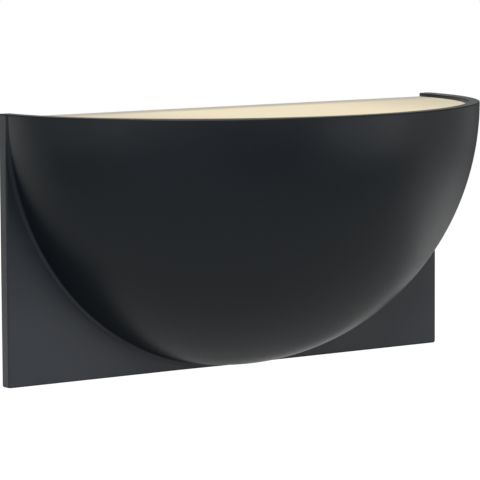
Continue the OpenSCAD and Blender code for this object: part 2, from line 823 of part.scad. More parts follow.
module driver_board() {
    margin = driver_wall + driver_board_gap;
    color("#2f6b46") translate([0, -driver_mid, driver_board_z]) linear_extrude(board_t)
        square([driver_l - 2 * margin, driver_d - 2 * margin], center = true);
}

// Bobbin between two halves of a ferrite core
module driver_transformer() {
    core = [transformer.x / 2, transformer.y, transformer.z];
    color("#4a3f35") translate([0, -driver_mid, driver_parts_z]) {
        translate([-core.x / 2, -core.y / 2, 0]) cube(core);
        translate([-transformer.x / 2, -transformer.y / 4, transformer.z / 4])
            cube([transformer.x, transformer.y / 2, transformer.z / 2]);
        for (side = [-1, 1]) translate([side * (transformer.x - cheek_t) / 2, 0, transformer.z / 2])
            cube([cheek_t, transformer.y * 0.8, transformer.z], center = true);
    }
}

module driver_capacitors() {
    color("#34495e") for (side = [-1, 1]) translate([side * (transformer.x / 2 + 2 * capacitor_r), -driver_mid,
        driver_parts_z]) cylinder(r = capacitor_r, h = capacitor_h);
}

module driver_screws() {
    seat = base_z - ear_t;
    color("#9a9da0") translate([0, -driver_mid, seat]) at_corners(driver_screw_x, driver_screw_y)
        mirror([0, 0, 1]) m3_screw(tray_z - seat - thread_gap);
}

// Nylon block: a bore for each brass insert, a screw well over each end of it, and two fixing holes
module terminal_block() {
    color("#e9e4d4") difference() {
        facing(z = terminal_z, y = bracket_t) linear_extrude(terminal_d)
            square([terminal_w, terminal_h], center = true);
        for (x = pole_x) {
            translate([x, -terminal_bore_y, terminal_foot - cut])
                cylinder(r = insert_r + thread_gap, h = terminal_h + 2 * cut);
            for (side = [-1, 1]) facing(x, terminal_z + side * terminal_screw_z, terminal_bore_y)
                cylinder(r = terminal_screw_r + lead_gap, h = terminal_d);
        }
        for (side = [-1, 1]) facing(side * pole_pitch / 2, terminal_z) {
            cylinder(r = tapped_m3_r, h = bracket_t + terminal_d + cut);
            translate([0, 0, bracket_t + terminal_d / 3]) cylinder(r = m3_head_r + lead_gap, h = terminal_d);
        }
        for (side = [-1, 1]) translate([side * terminal_w / 2, -bracket_t - terminal_d, terminal_z])
            cylinder(r = notch_r, h = terminal_h + cut, center = true);
    }
}

module terminal_inserts() {
    length = terminal_h - 2 * insert_inset;
    color("#c8a44d") for (x = pole_x) difference() {
        translate([x, -terminal_bore_y, terminal_z - length / 2]) difference() {
            cylinder(r = insert_r, h = length);
            translate([0, 0, -cut]) cylinder(r = insert_bore_r, h = length + 2 * cut);
        }
        for (side = [-1, 1]) facing(x, terminal_z + side * terminal_screw_z, terminal_bore_y)
            cylinder(r = terminal_screw_r + thread_gap, h = terminal_d);
    }
}

module terminal_screws() {
    tip = terminal_bore_y + mains_r + lead_gap;
    length = bracket_t + terminal_d - tip - terminal_screw_inset;
    color("#c9b36a") for (x = pole_x, side = [-1, 1]) facing(x, terminal_z + side * terminal_screw_z, tip)
        difference() {
            cylinder(r = terminal_screw_r, h = length);
            translate([-far, -terminal_screw_r / 5, length - slot_depth])
                cube([2 * far, 2 * terminal_screw_r / 5, 2 * slot_depth]);
        }
}

module terminal_fixings() {
    color("#9a9da0") for (side = [-1, 1]) facing(side * pole_pitch / 2, terminal_z, bracket_t + terminal_d / 3)
        m3_screw(bracket_t + terminal_d / 3 - thread_gap);
}

module earth_screw() {
    seat = ring_y + washer_t;
    color("#9a9da0") facing(-earth_x, earth_z, seat) m4_screw(seat - thread_gap);
}

module earth_washer() {
    color("#8d9093") facing(-earth_x, earth_z, ring_y) washer(m4_head_r, m4_r + thread_gap, washer_t);
}

// Right-angle ring terminal: a flat ring, a shelf that stands out from it and a crimped barrel below
module earth_ring() {
    color("#b8a878") difference() {
        union() {
            facing(-earth_x, earth_z, bracket_t) linear_extrude(ring_t) {
                circle(ring_r);
                translate([-ring_r / 2, -ring_foot]) square([ring_r, ring_foot]);
            }
            facing(-earth_x, earth_z - ring_foot, bracket_t) linear_extrude(lead_front + barrel_r - bracket_t)
                translate([-ring_r / 2, 0]) square([ring_r, ring_t]);
            translate([-earth_x, -lead_front, earth_z - ring_foot - ring_barrel])
                cylinder(r = barrel_r, h = ring_barrel + ring_t / 2);
        }
        facing(-earth_x, earth_z) cylinder(r = m4_r + thread_gap, h = bracket_t + ring_t + cut);
        translate([-earth_x, -lead_front, earth_z - ring_foot - ring_barrel - cut])
            cylinder(r = mains_r + lead_gap, h = ring_barrel - ring_t + cut);
    }
}

// Moulded saddles that hold the two rising mains leads against the bracket
module lead_clips() {
    color("#e4e4e4") for (z = clip_z) difference() {
        facing(clip_x, z, bracket_t) linear_extrude(lead_front - bracket_t + mains_r + clip_wall)
            square([clip_w, clip_h], center = true);
        for (x = [live_x, neutral_x]) translate([x, -lead_front, z])
            cylinder(r = mains_r + lead_gap, h = clip_h + 2 * cut, center = true);
    }
}

// Route of a mains lead from its pole, along the bracket and up, then forward into the driver's end
function mains_route(x, low, rise, y) = [
    [x, -lead_front, terminal_tip], [x, -lead_front, low], [rise, -lead_front, low],
    [rise, -lead_front, lead_z], [rise, -y, lead_z], [inside_x, -y, lead_z],
    [inside_x, -y, driver_parts_z + lead_gap]];

module live_lead() {
    color("#6b4226") lead(mains_route(pole_x[2], live_low_z, live_x, live_y), mains_r);
}

module neutral_lead() {
    color("#2a5fa8") lead(mains_route(pole_x[1], low_z, neutral_x, neutral_y), mains_r);
}

module earth_lead() {
    barrel_foot = earth_z - ring_foot - ring_barrel;
    color("#4d8a2f") lead([[pole_x[0], -lead_front, terminal_tip], [pole_x[0], -lead_front, low_z],
        [-earth_x, -lead_front, low_z], [-earth_x, -lead_front, barrel_foot + lead_in]], mains_r);
}

// Route of an LED lead from the driver's end, up through the tray and into the board's connector
function led_route(y) = [
    [-inside_x, -y, driver_parts_z + lead_gap], [-inside_x, -y, lead_z], [-led_rise_x, -y, lead_z],
    [-led_rise_x, -y, plug_z], [plug_x + lead_in - lead_gap, -y, plug_z]];

module led_lead_positive() {
    color("#b5332c") lead(led_route(led_y[0]), led_lead_r);
}

module led_lead_negative() {
    color("#222222") lead(led_route(led_y[1]), led_lead_r);
}

housing();
diffuser_seal();
diffuser();
wall_bracket();
hanging_studs();
lock_screw();
lock_washer();
cable_grommet();
led_tray();
tray_screws();
thermal_pad();
led_board();
led_chips();
board_screws();
board_connector();
tray_bush();
driver_base();
driver_cover();
driver_board();
driver_transformer();
driver_capacitors();
driver_screws();
terminal_block();
terminal_inserts();
terminal_screws();
terminal_fixings();
earth_screw();
earth_washer();
earth_ring();
lead_clips();
live_lead();
neutral_lead();
earth_lead();
led_lead_positive();
led_lead_negative();
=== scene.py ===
"""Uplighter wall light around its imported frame: cast shade, opal diffuser and the fittings behind them.

The frame is in metres: X along the wall, +Y into the wall, +Z up, wall plane at Y = 0. Shapes are worked out
in millimetres, with y as the distance from the wall, and become metres in closed_mesh.
"""
import json
import math

import bmesh
import bpy
import numpy as np
from mathutils import Matrix, Vector


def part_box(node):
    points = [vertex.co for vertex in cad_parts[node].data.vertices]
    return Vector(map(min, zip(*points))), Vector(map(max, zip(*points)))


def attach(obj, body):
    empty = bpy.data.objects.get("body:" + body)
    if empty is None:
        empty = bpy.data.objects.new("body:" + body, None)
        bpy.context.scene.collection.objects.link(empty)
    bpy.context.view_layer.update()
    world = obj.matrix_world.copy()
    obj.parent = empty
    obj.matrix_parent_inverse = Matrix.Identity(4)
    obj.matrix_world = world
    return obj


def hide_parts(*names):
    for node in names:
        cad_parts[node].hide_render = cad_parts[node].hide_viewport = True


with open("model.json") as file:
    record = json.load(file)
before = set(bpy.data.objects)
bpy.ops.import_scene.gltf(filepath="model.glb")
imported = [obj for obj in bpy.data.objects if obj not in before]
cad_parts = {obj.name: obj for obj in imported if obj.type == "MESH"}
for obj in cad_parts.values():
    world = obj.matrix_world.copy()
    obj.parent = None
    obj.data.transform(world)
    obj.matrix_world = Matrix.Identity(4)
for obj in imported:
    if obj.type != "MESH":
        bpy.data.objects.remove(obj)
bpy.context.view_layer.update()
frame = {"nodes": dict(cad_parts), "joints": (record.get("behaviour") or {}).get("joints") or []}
nodes = frame["nodes"]

MM = 0.001
QUARTER = math.pi / 2


def in_mm(metres):
    """A length of the frame in millimetres, rounded to thousandths."""
    return round(metres / MM, 3)


# --- sizes in millimetres: places come from the frame's solids, the rest is as in the part's source ---------

housing_low, housing_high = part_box("housing")
diffuser_low, diffuser_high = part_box("diffuser")
studs_low, studs_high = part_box("hanging_studs")
shade_lift = next(joint for joint in frame["joints"] if joint["name"] == "shade_lift")

# Back plate and bowl, whose two arcs meet in about the direction BLEND
PLATE_HALF = in_mm(housing_high.x)
PLATE_T = 7.0
PLATE_CORNER_R = 1.5
PLATE_MARGIN = 0.5
RIM_Z = in_mm(housing_high.z)
BOWL_R = PLATE_HALF - PLATE_MARGIN
BOWL_DEPTH = in_mm(-housing_low.y)
BLEND = math.radians(47)
JUNCTION_R = 2.5
WALL_T = 4.0

# Ribs behind the plate's lower corners, and the cells between them
PLATE_SKIN = 3.2
RIB_T = 2.4
RIB_PITCH = 27.0
POCKET_START = 52.0
CELLS = 4
CELL_ROOM = 1.0

# Rim, diffuser and ledge
RIM_W = 7.5
DIFFUSER_GAP = in_mm(-diffuser_high.y)
DIFFUSER_INSET = RIM_W + DIFFUSER_GAP
DIFFUSER_LOW = in_mm(diffuser_low.z)
DIFFUSER_TOP = in_mm(diffuser_high.z)
SEAL_T = 1.0
LEDGE_W = 4.0
LEDGE_T = 3.0
LEDGE_IN = RIM_W + LEDGE_W
LEDGE_TOP = DIFFUSER_LOW - SEAL_T
LEDGE_BOTTOM = LEDGE_TOP - LEDGE_T

# Hanging rail: its web ends half-way up the ledge, and the three radii are the keyholes' and the lock slot's
RAIL_FLANGE = 10.0
RAIL_T = 4.0
RAIL_H = 15.0
RAIL_BACK = 2.3
RAIL_FRONT = RAIL_BACK + RAIL_T
RAIL_BOTTOM = LEDGE_BOTTOM - RAIL_H
RAIL_TOP = LEDGE_BOTTOM + LEDGE_T / 2
STUD_X = 60.0
STUD_Z = in_mm((studs_low.z + studs_high.z) / 2)
LIFT = in_mm(shade_lift["range_m"][1])
TAB_W = 24.0
TAB_FOOT = 10.0
TAB_BOTTOM = STUD_Z - LIFT - TAB_FOOT
NECK_R = 2.8
MOUTH_R = 5.3
LOCK_R = 2.35

# Plan curve of the bowl: a side arc about (SIDE_X, 0) and a front arc about (0, FRONT_Y), which share their
# tangent where they meet
ARC_STEP = (BOWL_R - BOWL_DEPTH) / (math.sin(BLEND) + math.cos(BLEND) - 1)
SIDE_R = round(BOWL_R - ARC_STEP * math.cos(BLEND), 3)
FRONT_R = round(BOWL_DEPTH + ARC_STEP * math.sin(BLEND), 3)
SIDE_X = BOWL_R - SIDE_R
FRONT_Y = -math.sqrt((FRONT_R - SIDE_R) ** 2 - SIDE_X ** 2)
TOUCH_TAN = -FRONT_Y / SIDE_X

# Fillet between the bowl and the plate: its centre, and how far from the axis it leaves the bowl
FILLET_Y = PLATE_T + JUNCTION_R
FILLET_X = SIDE_X + math.sqrt((SIDE_R + JUNCTION_R) ** 2 - FILLET_Y ** 2)
TANGENT_R = SIDE_X + (FILLET_X - SIDE_X) * SIDE_R / (SIDE_R + JUNCTION_R)

# Roundings of the opal's edges (also the least one on the shade), the plate's front edges and the rim's top.
# The plate's is full where there is ROUNDING_ROOM between the bowl and the edge, past a first BARE_ROOM.
EDGE = 0.45
PLATE_EDGE = 1.1
RIM_EDGE = 0.9
BARE_ROOM = 0.5
ROUNDING_ROOM = 4.0

# Where the fillet's arc stops short of its foot, and of the plate's rounded edge
FOOT_GAP = 0.01
EDGE_GAP = 0.15

# How finely the surfaces are divided, and how far a cutting shape runs past what it cuts
EDGE_STEPS = 5
FILLET_STEPS = 8
FRONT_STEPS = 5
SIDE_STEPS = 3
EASE_POINTS = 20
ARC_POINTS = 120
EVEN_RAYS = 96
CORNER_RAYS = 7
BOWL_COLUMNS = 201
CAVITY_ROWS = 70
CAVITY_COLUMNS = 141
RAIL_END_POINTS = 7
HOLE_STEPS = 24
CIRCLE_STEPS = 720
PAST = 1.0

# Decimals of a millimetre that welded points share, and the angle past which an edge stays sharp
WELD_DIGITS = 4
SHARP_ANGLE = math.radians(35)


# --- meshes -------------------------------------------------------------------------------------------------

def grid_quads(rows, columns, start=0):
    """Quads of a grid of points stored row by row, with the first point numbered start."""
    i = np.arange(rows - 1)[:, None] * columns + np.arange(columns - 1)[None, :] + start
    return np.stack([i, i + 1, i + columns + 1, i + columns], -1).reshape(-1, 4)


def closed_mesh(name, points, quads, rings=()):
    """Mesh object from points in millimetres, blocks of quads, and rings, which each become one flat face.
    Points that round to the same place are welded, and a quad that loses a side so becomes a triangle."""
    welded, number = np.unique(np.round(points, WELD_DIGITS), axis=0, return_inverse=True)
    number = number.reshape(-1)
    kept = []
    for block in quads:
        block = number[block]
        folded = block == np.roll(block, 1, 1)
        kept += block[~folded.any(1)].tolist()
        for corner in range(4):
            shut = block[:, corner] == block[:, (corner + 1) % 4]
            triangles = np.delete(block[shut], corner, 1)
            kept += [triangle for triangle in triangles.tolist() if len(set(triangle)) == 3]
    for ring in rings:
        ring = number[ring]
        kept.append(ring[ring != np.roll(ring, 1)].tolist())
    mesh = bpy.data.meshes.new(name)
    mesh.from_pydata((welded * MM).tolist(), [], kept)
    mesh.update()
    made = bpy.data.objects.new(name, mesh)
    bpy.context.scene.collection.objects.link(made)
    point_outwards(made)
    return made


def point_outwards(made):
    """Turns every face of a closed mesh outwards."""
    work = bmesh.new()
    work.from_mesh(made.data)
    bmesh.ops.recalc_face_normals(work, faces=work.faces)
    if work.calc_volume(signed=True) < 0:
        bmesh.ops.reverse_faces(work, faces=work.faces)
    work.to_mesh(made.data)
    work.free()


def prism(name, outline, low, high, upright=True):
    """Straight prism: a closed outline in x and y along Z from low to high, or, when not upright, a closed
    outline in x and z along the distance from the wall."""
    outline = np.asarray(outline, float)
    count = len(outline)
    ends = [np.full((count, 1), value) for value in (low, high)]
    if upright:
        points = np.vstack([np.hstack([outline, end]) for end in ends])
    else:
        points = np.vstack([np.hstack([outline[:, :1], -end, outline[:, 1:]]) for end in ends])
    i = np.arange(count)
    sides = np.stack([i, (i + 1) % count, (i + 1) % count + count, i + count], -1)
    return closed_mesh(name, points, [sides], [i, i + count])


def loft(name, outlines, heights):
    """Closed form through plan outlines with equal point counts, one at each of the heights."""
    count = len(outlines[0])
    level = [np.full((count, 1), height) for height in heights]
    points = np.vstack([np.hstack(layer) for layer in zip(outlines, level)])
    row, column = np.divmod(grid_quads(len(outlines), count + 1), count + 1)
    walls = row * count + column % count
    last = (len(outlines) - 1) * count
    return closed_mesh(name, points, [walls], [np.arange(count), np.arange(count) + last])


def combine(made, other, operation):
    """Cuts or joins a closed mesh with another one, which is used up."""
    step = made.modifiers.new("cut", "BOOLEAN")
    step.operation, step.object, step.solver = operation, other, "MANIFOLD"
    settle(made)
    bpy.data.objects.remove(other)


def settle(made):
    """Puts the result of an object's modifiers into its mesh."""
    graph = bpy.context.evaluated_depsgraph_get()
    graph.update()
    mesh = bpy.data.meshes.new_from_object(made.evaluated_get(graph))
    made.modifiers.clear()
    made.data = mesh


def smooth_casting(made):
    """Smooth shading with flat faces kept flat: sharp edges past an angle, and normals weighted by area."""
    made.data.shade_smooth()
    made.data.set_sharp_from_angle(angle=SHARP_ANGLE)
    weigh = made.modifiers.new("weigh", "WEIGHTED_NORMAL")
    weigh.mode, weigh.weight, weigh.keep_sharp = "FACE_AREA", 100, True
    settle(made)


# --- curves -------------------------------------------------------------------------------------------------

def eased(share):
    """Share held between 0 and 1 that starts and ends gently: s squared times (3 - 2 s)."""
    share = np.clip(share, 0, 1)
    return share ** 2 * (3 - 2 * share)


def arc(radius, turn):
    """Points of a circle about the origin: radius times the cosine and the sine of turn."""
    return np.stack([radius * np.cos(turn), radius * np.sin(turn)], -1)


def curve_y(r, inset=0.0):
    """Distance of the bowl's plan curve, drawn inwards by inset, from the wall at distance r from the axis.
    Each arc is its centre's y plus the root of (its radius squared minus the squared way from its centre).
    The front arc holds where it lies over the line through both centres, and the side arc below it."""
    front = FRONT_Y + np.sqrt(np.maximum((FRONT_R - inset) ** 2 - r ** 2, 0))
    side = np.sqrt(np.maximum((SIDE_R - inset) ** 2 - (r - SIDE_X) ** 2, 0))
    return np.where(front - FRONT_Y >= TOUCH_TAN * r, front, side)


def plan_outline(inset, start):
    """Closed plan outline of the bowl's curve drawn inwards by inset, from y = start on one side round to
    the other: on each arc, its centre plus its radius times the cosine and the sine of even steps."""
    turn = np.linspace(0, 1, ARC_POINTS)
    touch = math.atan(TOUCH_TAN)
    low = math.asin(start / (SIDE_R - inset))
    side = low + (touch - low) * turn
    front = touch + (QUARTER - touch) * turn[1:]
    x = np.hstack([SIDE_X + (SIDE_R - inset) * np.cos(side), (FRONT_R - inset) * np.cos(front)])
    y = np.hstack([(SIDE_R - inset) * np.sin(side), FRONT_Y + (FRONT_R - inset) * np.sin(front)])
    x[-1] = 0
    return np.vstack([np.stack([x, -y], -1), np.stack([-x[-2::-1], -y[-2::-1]], -1)])


# --- cast shade ---------------------------------------------------------------------------------------------

def ray_reach(alpha, inset):
    """Length of rays at alpha below the rim, from the bowl's axis to the plate's outline drawn inwards: half
    the plate over the greater of cosine and sine, or the far crossing with the rounded corner's circle."""
    half, corner = PLATE_HALF - inset, PLATE_CORNER_R - inset
    straight = half / np.maximum(np.cos(alpha), np.sin(alpha))
    middle = (half - corner) * (np.cos(alpha) + np.sin(alpha))
    inside = middle ** 2 - 2 * (half - corner) ** 2 + corner ** 2
    rounded = middle + np.sqrt(np.maximum(inside, 0))
    past = straight * np.minimum(np.cos(alpha), np.sin(alpha)) > half - corner
    return np.where(past, rounded, straight)


def front_y(rho):
    """Distance of the fillet and the plate's front from the wall at rho from the axis: the fillet's centre
    minus the root of (its radius squared minus the squared way to that centre), and PLATE_T past it."""
    inside = np.maximum(JUNCTION_R ** 2 - (FILLET_X - rho) ** 2, 0)
    return np.where(rho < FILLET_X, FILLET_Y - np.sqrt(inside), PLATE_T)


def ray_angles():
    """Angles below the rim, in even steps but finer across the plate's rounded corner. The first one is
    where the rounding of the rim ends on the bowl."""
    corner = math.atan((PLATE_HALF - PLATE_CORNER_R) / PLATE_HALF)
    even = np.linspace(0, QUARTER, EVEN_RAYS + 1)[1:]
    even = even[np.abs(even - QUARTER / 2) > QUARTER / 2 - corner]
    fine = np.linspace(corner, QUARTER - corner, CORNER_RAYS)
    return np.sort(np.hstack([math.asin(RIM_EDGE / TANGENT_R), even[1:], fine]))


def bowl_grid(alpha, columns, radius, inset):
    """Turned half of a bowl: x = radius cos(alpha) sin(beta), the depth below the rim is radius sin(alpha),
    and y is the plan curve's at the point's distance from the axis."""
    beta = np.linspace(-QUARTER, QUARTER, columns)
    x = radius * np.cos(alpha)[:, None] * np.sin(beta)[None, :]
    below = np.repeat((radius * np.sin(alpha))[:, None], columns, 1)
    y = curve_y(np.minimum(np.hypot(x, below), radius), inset)
    return np.stack([x, -y, RIM_Z - below], -1)


def plate_edge(alpha):
    """Rounding of the plate's front edge along each ray: EDGE where the bowl comes up to the plate's edge,
    eased to PLATE_EDGE over the room between them."""
    room = ray_reach(alpha, 0) - PLATE_HALF - BARE_ROOM
    return EDGE + (PLATE_EDGE - EDGE) * eased(room / ROUNDING_ROOM)


def bent(start, corner, end, t):
    """Curve from start to end that bends towards corner: (1 - t) squared times start, plus 2 t (1 - t) times
    corner, plus t squared times end, with t from 0 to 1."""
    return (1 - t) ** 2 * start + 2 * t * (1 - t) * corner + t ** 2 * end


def plate_grid(alpha, side):
    """Rays from the bowl's edge outwards, rho from the axis and y from the wall: the fillet's arc, the flat
    front, the edge rounded by a quadratic curve towards its corner, and the side face back to the wall. A
    point lies at x = rho cos(alpha) and rho sin(alpha) below the rim."""
    bevel = plate_edge(alpha)
    end, edge = ray_reach(alpha, bevel)[:, None], ray_reach(alpha, 0)[:, None]
    first = math.atan2(-FILLET_Y, SIDE_X - FILLET_X)
    full = np.minimum(FILLET_X - FOOT_GAP, end - EDGE_GAP)
    last = -np.arccos((full - FILLET_X) / JUNCTION_R)
    turn = first + (last - first) * np.linspace(0, 1, FILLET_STEPS + 1)[None, :]
    flat = full + (end - full) * np.linspace(0, 1, FRONT_STEPS + 1)[None, 1:]
    crest = front_y(edge)
    foot = crest - bevel[:, None]
    t = np.linspace(0, 1, EDGE_STEPS + 1)[None, 1:]
    down = foot * np.linspace(1, 0, SIDE_STEPS + 1)[None, 1:]
    rho = np.hstack([FILLET_X + JUNCTION_R * np.cos(turn), flat, bent(end, edge, edge, t),
                     np.repeat(edge, SIDE_STEPS, 1)])
    y = np.hstack([FILLET_Y + JUNCTION_R * np.sin(turn), front_y(flat), bent(front_y(end), crest, foot, t),
                   down])
    x, below = rho * np.cos(alpha)[:, None], rho * np.sin(alpha)[:, None]
    return np.stack([side * x, -y, RIM_Z - below], -1)


def rim_strip(rim, plate_columns):
    """Rounded edge swept along the rim's outline: at turn t a point has moved inwards by (1 - cos t) times
    the rounding, and up by sin t times its way to the rim. The rounding is EDGE beside the plate's columns,
    at both ends of the outline, and eases to RIM_EDGE round the bowl."""
    tangent = np.gradient(rim[:, :2], axis=0)
    tangent[[0, -1]] = [[0, -1], [0, 1]]
    inward = np.stack([-tangent[:, 1], tangent[:, 0]], -1)
    inward /= np.linalg.norm(inward, axis=1)[:, None]
    along = np.arange(len(rim)) - plate_columns
    rounding = EDGE + (RIM_EDGE - EDGE) * eased(np.minimum(along, along[::-1]) / EASE_POINTS)
    turn = np.linspace(0, QUARTER, EDGE_STEPS + 1)
    strip = np.repeat(rim[None], EDGE_STEPS + 1, 0)
    strip[..., :2] += (1 - np.cos(turn))[:, None, None] * inward * rounding[:, None]
    strip[..., 2] = rim[:, 2] + (RIM_Z - rim[:, 2]) * np.sin(turn)[:, None]
    return strip


def casting_blank():
    """Solid outside of the shade: the bowl, the plate round it and the rounded edge along the rim, each a
    grid, and a flat face on top and one at the back."""
    alpha = ray_angles()
    bowl = bowl_grid(alpha, BOWL_COLUMNS, TANGENT_R, 0)
    left, right = plate_grid(alpha, -1), plate_grid(alpha, 1)
    plate = np.vstack([left, right[-2::-1]])
    plate_columns = plate.shape[1]
    rim = np.vstack([left[0, ::-1], bowl[0, 1:-1], right[0]])
    width = len(rim)
    grids = (bowl, plate, rim_strip(rim, plate_columns))
    starts = np.cumsum([0] + [grid.shape[0] * grid.shape[1] for grid in grids])
    quads = [grid_quads(*grid.shape[:2], start) for grid, start in zip(grids, starts)]
    plate_at, strip_at = starts[1:3]
    top = strip_at + EDGE_STEPS * width + np.arange(width)
    foot = plate_at + np.arange(len(plate)) * plate_columns + plate_columns - 1
    right_end = strip_at + np.arange(1, EDGE_STEPS + 1) * width + width - 1
    left_end = strip_at + np.arange(EDGE_STEPS, 0, -1) * width
    points = np.vstack([grid.reshape(-1, 3) for grid in grids])
    return closed_mesh("shade_casting", points, quads, [top, np.hstack([foot, right_end, left_end])])


def cavity_cutter():
    """Inside of the bowl under the ledge: the turned plan curve drawn inwards by the wall, and straight on
    past the wall plane."""
    radius = BOWL_R - WALL_T
    alpha = np.linspace(math.asin((RIM_Z - LEDGE_BOTTOM) / radius), QUARTER, CAVITY_ROWS)
    inner = bowl_grid(alpha, CAVITY_COLUMNS, radius, WALL_T)
    border = np.vstack([inner[:, 0], inner[-2::-1, -1]])
    behind = border + [0, PAST, 0]
    count, size = len(border), CAVITY_ROWS * CAVITY_COLUMNS
    points = np.vstack([inner.reshape(-1, 3), border, behind])
    back = size + count + np.arange(count)
    top = np.hstack([np.arange(CAVITY_COLUMNS), back[-1], back[0]])
    quads = [grid_quads(CAVITY_ROWS, CAVITY_COLUMNS), grid_quads(2, count, size)]
    return closed_mesh("cavity", points, quads, [back, top])


def rebate_cutter():
    """Space over the ledge. At RIM_EDGE times (1 - sin t) below the rim it is wider by RIM_EDGE times
    (1 - cos t), so that the rim's inner edge is rounded."""
    turn = np.radians([0, 18, 36, 54, 70, 84])
    insets = [RIM_W, *(RIM_W - RIM_EDGE * (1 - np.cos(turn))), RIM_W - RIM_EDGE]
    heights = [LEDGE_TOP, *(RIM_Z - RIM_EDGE * (1 - np.sin(turn))), RIM_Z + PAST]
    return loft("rebate", [plan_outline(inset, -PAST) for inset in insets], heights)


def keyhole(neck, mouth):
    """Outline about a stud: half a circle round its neck, and LIFT below it the mouth's circle, from where
    it meets the neck's width. Equal radii give a slot."""
    meet = math.acos(neck / mouth)
    over = np.linspace(0, math.pi, HOLE_STEPS + 1)
    under = np.linspace(math.pi - meet, 2 * math.pi + meet, 2 * HOLE_STEPS + 1)
    return np.vstack([arc(neck, over), arc(mouth, under) - [0, LIFT]])


def rail():
    """Hanging rail as one flat outline: the web, which ends on a circle inside the bowl's wall, and three
    tabs, with a keyhole in each outer one and the lock's slot in the middle one."""
    outer = BOWL_R - WALL_T / 2
    level = np.linspace(RAIL_TOP, RAIL_BOTTOM, RAIL_END_POINTS)
    reach = np.sqrt(outer ** 2 - (RIM_Z - level) ** 2)
    tabs = []
    for middle in (STUD_X, 0, -STUD_X):
        right, left = middle + TAB_W / 2, middle - TAB_W / 2
        tabs += [[right, RAIL_BOTTOM], [right, TAB_BOTTOM], [left, TAB_BOTTOM], [left, RAIL_BOTTOM]]
    outline = np.vstack([np.stack([reach, level], -1), tabs, np.stack([-reach, level], -1)[::-1]])
    made = prism("rail", outline, RAIL_BACK, RAIL_FRONT, upright=False)
    for middle, neck, mouth in ((-STUD_X, NECK_R, MOUTH_R), (0, LOCK_R, LOCK_R), (STUD_X, NECK_R, MOUTH_R)):
        hole = keyhole(neck, mouth) + [middle, STUD_Z]
        cutter = prism("keyhole", hole, RAIL_BACK - PAST, RAIL_FRONT + PAST, upright=False)
        combine(made, cutter, "DIFFERENCE")
    return made


def cell_spans(start, end):
    """Ends of the cells along one direction, from start to end at most, between ribs a pitch apart."""
    half = RIB_T / 2
    return [(start + (half if k else 0) + RIB_PITCH * k, min(start - half + RIB_PITCH * (k + 1), end))
            for k in range(CELLS)]


def pocket_cutter():
    """Cells between the ribs behind the plate's lower corners, outside the bowl's circle."""
    made = None
    for x0, x1 in cell_spans(POCKET_START, PLATE_HALF - WALL_T):
        for z0, z1 in cell_spans(WALL_T - RIM_Z, 2 * WALL_T):
            if math.hypot(x1, RIM_Z - z0) < BOWL_R + CELL_ROOM:
                continue
            for side in (-1, 1):
                corners = np.array([[x0, z0], [x1, z0], [x1, z1], [x0, z1]]) * [side, 1]
                cell = prism("cell", corners, -PAST, PLATE_T - PLATE_SKIN, upright=False)
                if made:
                    combine(made, cell, "UNION")
                else:
                    made = cell
    circle = arc(BOWL_R, np.linspace(0, 2 * math.pi, CIRCLE_STEPS + 1)[:-1]) + [0, RIM_Z]
    combine(made, prism("bowl_circle", circle, -2 * PAST, PLATE_T, upright=False), "DIFFERENCE")
    return made


def cast_shade():
    """The shade in one piece: the outside, hollowed under and over the ledge, cored behind, and the rail."""
    made = casting_blank()
    combine(made, cavity_cutter(), "DIFFERENCE")
    ledge_hole = plan_outline(LEDGE_IN, RAIL_FLANGE)
    combine(made, prism("ledge_hole", ledge_hole, LEDGE_BOTTOM - PAST, LEDGE_TOP + PAST), "DIFFERENCE")
    combine(made, rebate_cutter(), "DIFFERENCE")
    combine(made, pocket_cutter(), "DIFFERENCE")
    combine(made, rail(), "UNION")
    smooth_casting(made)
    return made


def opal_plate():
    """The diffuser: plan outlines drawn inwards, by EDGE times (1 - sin t) at EDGE times (1 - cos t) from
    the lower and upper face, so that both edges are rounded."""
    turn = np.linspace(0, QUARTER, EDGE_STEPS + 1)
    draw = EDGE * (1 - np.sin(turn))
    rise = EDGE * (1 - np.cos(turn))
    insets = np.hstack([draw, draw[::-1]])
    heights = np.hstack([DIFFUSER_LOW + rise, DIFFUSER_TOP - rise[::-1]])
    outlines = [plan_outline(DIFFUSER_INSET + inset, DIFFUSER_GAP + inset) for inset in insets]
    made = loft("diffuser_plate", outlines, heights)
    smooth_casting(made)
    return made


# --- shader nodes -------------------------------------------------------------------------------------------

# What a noise texture's values mostly lie between
NOISE_LOW, NOISE_HIGH = 0.3, 0.7


def feed(tree, value, socket):
    """Puts a socket's output, a number or a red-green-blue colour into an input socket."""
    if isinstance(value, bpy.types.NodeSocket):
        tree.links.new(value, socket)
    elif isinstance(value, tuple):
        socket.default_value = (*value, 1)
    elif value is not None:
        socket.default_value = value


def node_group(name, inputs, outputs):
    """Empty shader node group with named inputs and outputs, and its input sockets and output node."""
    group = bpy.data.node_groups.new(name, "ShaderNodeTree")
    kinds = {"value": "NodeSocketFloat", "colour": "NodeSocketColor", "vector": "NodeSocketVector"}
    for label, kind, value in inputs:
        socket = group.interface.new_socket(name=label, in_out="INPUT", socket_type=kinds[kind])
        if value is not None:
            socket.default_value = value
    for label in outputs:
        kind = "colour" if label == "Color" else "value"
        group.interface.new_socket(name=label, in_out="OUTPUT", socket_type=kinds[kind])
    return group, group.nodes.new("NodeGroupInput").outputs, group.nodes.new("NodeGroupOutput").inputs


def noise(tree, vector, scale, detail=2.0, rough=0.5):
    """Noise texture on a vector socket."""
    made = tree.nodes.new("ShaderNodeTexNoise")
    for label, value in (("Vector", vector), ("Scale", scale), ("Detail", detail), ("Roughness", rough)):
        feed(tree, value, made.inputs[label])
    return made.outputs["Fac"]


def maths(tree, operation, *values):
    """Math node on sockets or plain numbers."""
    made = tree.nodes.new("ShaderNodeMath")
    made.operation = operation
    for socket, value in zip(made.inputs, values):
        feed(tree, value, socket)
    return made.outputs[0]


